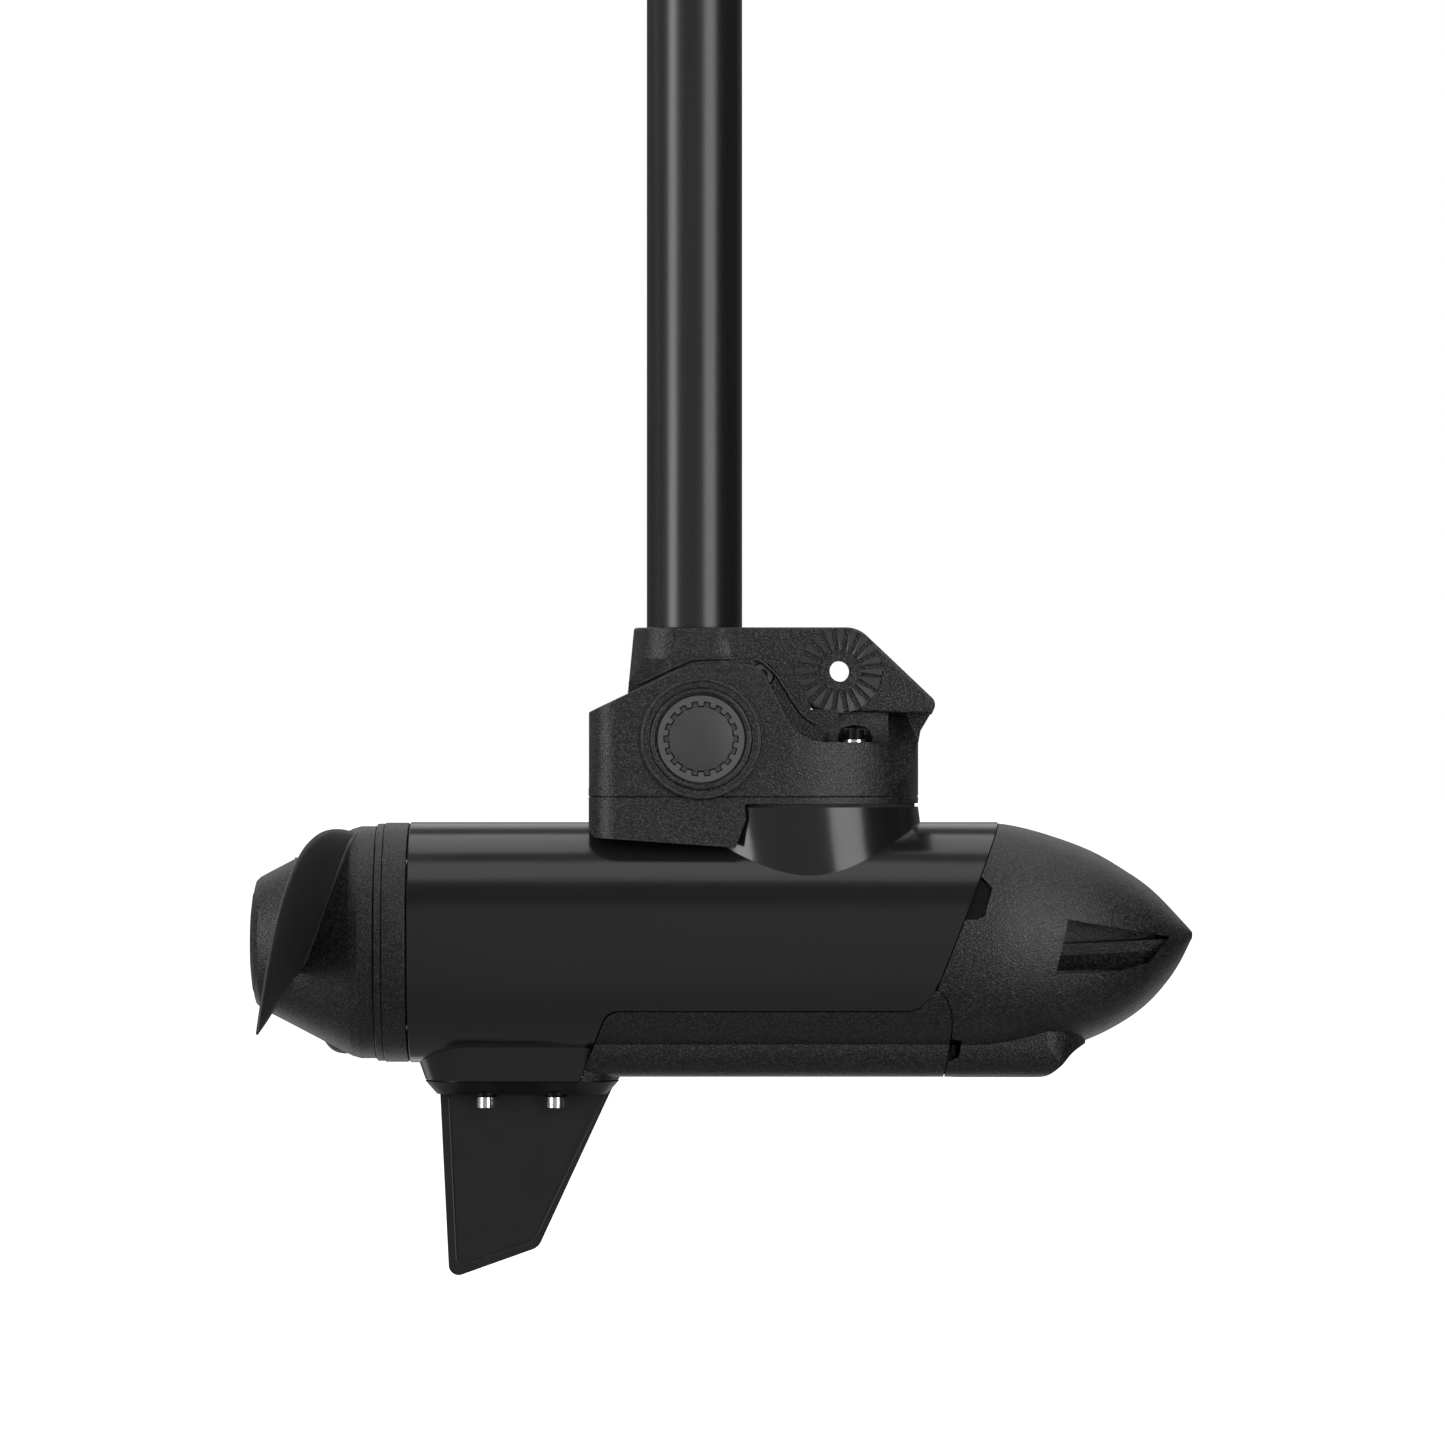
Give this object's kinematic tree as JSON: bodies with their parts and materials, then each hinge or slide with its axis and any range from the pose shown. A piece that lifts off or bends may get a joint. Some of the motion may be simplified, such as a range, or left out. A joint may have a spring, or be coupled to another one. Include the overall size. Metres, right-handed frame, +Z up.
{
  "type": "trolling motor lower unit",
  "caption": "Electric trolling motor's lower unit: a motor pod with nose cone, two-blade weedless propeller and skeg, hung on a tube shaft by a folding knuckle.",
  "frame": {"origin": "centre of the shaft's top end face, on the shaft's axis", "axes": "+Z up along the shaft, +X forward along the motor to the nose, +Y to the motor's left side"},
  "size_m": [0.3763, 0.2628, 0.5379],
  "materials": {
    "textured_plastic": "fine leather grain",
    "gloss_paint": "gloss black coat on an aluminium casting",
    "shaft_composite": "satin, black composite",
    "satin_plastic": "satin",
    "button_plastic": "smooth satin, dark grey",
    "dark_steel": "dark oxide",
    "bright_steel": "polished stainless",
    "steel": "ground",
    "rubber": "matte",
    "cable_sheath": "satin",
    "gland_plastic": "satin",
    "aluminium": "as machined",
    "circuit_board": "solder mask",
    "laminated_iron": "laminated",
    "copper": "varnished copper wire",
    "magnet": "nickel plated",
    "bronze": "plain"
  },
  "bodies": {
    "shaft": {"shaft_tube": "shaft_composite", "upper_knuckle": "textured_plastic", "clamp_bolt": "dark_steel", "clamp_nut": "dark_steel", "shaft_cable": "cable_sheath", "cable_plug": "satin_plastic", "shaft_plug": "rubber"},
    "motor": {"pivot_base": "textured_plastic", "base_collar": "textured_plastic", "bottom_panel": "textured_plastic", "nose_cone": "textured_plastic", "rear_end_cap": "textured_plastic", "rear_ring": "textured_plastic", "motor_housing": "gloss_paint", "skeg": "satin_plastic", "nose_latches": "satin_plastic", "spline_rings": "dark_steel", "base_screws": "dark_steel", "skeg_screws": "bright_steel", "base_washers": "bright_steel", "end_cap_screws": "steel", "front_bearing": "steel", "rear_bearing": "steel", "front_button_spring": "steel", "rear_button_spring": "steel", "board_screws": "steel", "base_gasket": "rubber", "bulkhead_o_ring": "rubber", "rear_o_ring": "rubber", "shaft_seal": "rubber", "motor_cable": "cable_sheath", "cable_gland": "gland_plastic", "transducer_face": "gland_plastic", "sonar_transducer": "gland_plastic", "front_bulkhead": "aluminium", "board_carrier": "aluminium", "front_bearing_plate": "aluminium", "controller_board": "circuit_board", "board_components": "circuit_board", "stator_core": "laminated_iron", "stator_windings": "copper"},
    "propeller": {"drive_shaft": "steel", "rotor_core": "laminated_iron", "rotor_magnets": "magnet", "drive_pin": "steel", "thrust_washer": "bronze", "propeller_hub": "textured_plastic", "propeller_washer": "steel", "propeller_nut": "steel", "hub_cap": "textured_plastic", "front_blade": "satin_plastic", "rear_blade": "satin_plastic"},
    "front_button": {"front_button": "button_plastic"},
    "rear_button": {"rear_button": "button_plastic"}
  },
  "joints": [
    {"name": "fold", "type": "hinge", "parent": "shaft", "child": "motor", "pos_m": [0.0027, 0, -0.3237], "axis": [0, 1, 0], "range_deg": [0, 60]},
    {"name": "propeller_spin", "type": "hinge", "parent": "motor", "child": "propeller", "pos_m": [0, 0, -0.405], "axis": [1, 0, 0], "continuous": true},
    {"name": "front_button_press", "type": "slide", "parent": "motor", "child": "front_button", "axis": [0, 1, 0], "range_m": [0, 0.0055], "stiffness_N_per_m": 600, "springref_m": -0.002, "deforming": ["front_button_spring"]},
    {"name": "rear_button_press", "type": "slide", "parent": "motor", "child": "rear_button", "axis": [0, -1, 0], "range_m": [0, 0.0055], "stiffness_N_per_m": 600, "springref_m": -0.002, "deforming": ["rear_button_spring"]}
  ]
}
